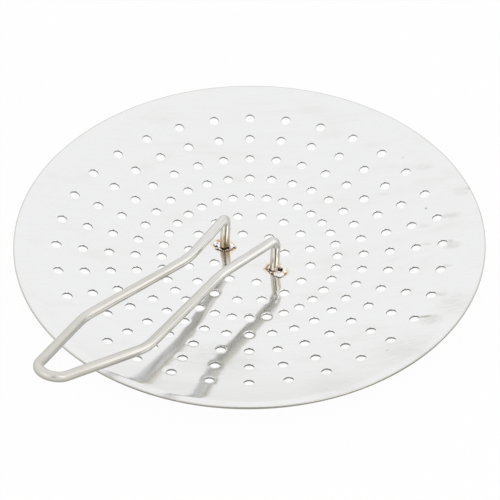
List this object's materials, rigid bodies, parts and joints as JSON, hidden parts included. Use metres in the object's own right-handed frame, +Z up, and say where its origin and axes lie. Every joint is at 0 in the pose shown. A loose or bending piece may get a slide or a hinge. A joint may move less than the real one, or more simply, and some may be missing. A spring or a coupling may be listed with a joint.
{
  "type": "perforated strainer disc",
  "caption": "Shallow dished strainer disc of sheet steel with rings of round holes and a long bent wire loop handle welded inside it.",
  "frame": {"origin": "centre of the flat underside of the dish, where it stands", "axes": "+Z up, out of the open side of the dish; -Y along the handle, from the centre out over the rim; +X to the right"},
  "size_m": [0.3048, 0.3694, 0.079],
  "materials": {
    "sheet_steel": "bright rolled sheet",
    "wire_steel": "drawn wire, satin, with heat tint at the feet",
    "weld_metal": "bright weld bead with dark and straw heat tint"
  },
  "bodies": {
    "root": {"perforated_plate": "sheet_steel", "wire_handle": "wire_steel", "left_weld": "weld_metal", "right_weld": "weld_metal"}
  },
  "joints": []
}
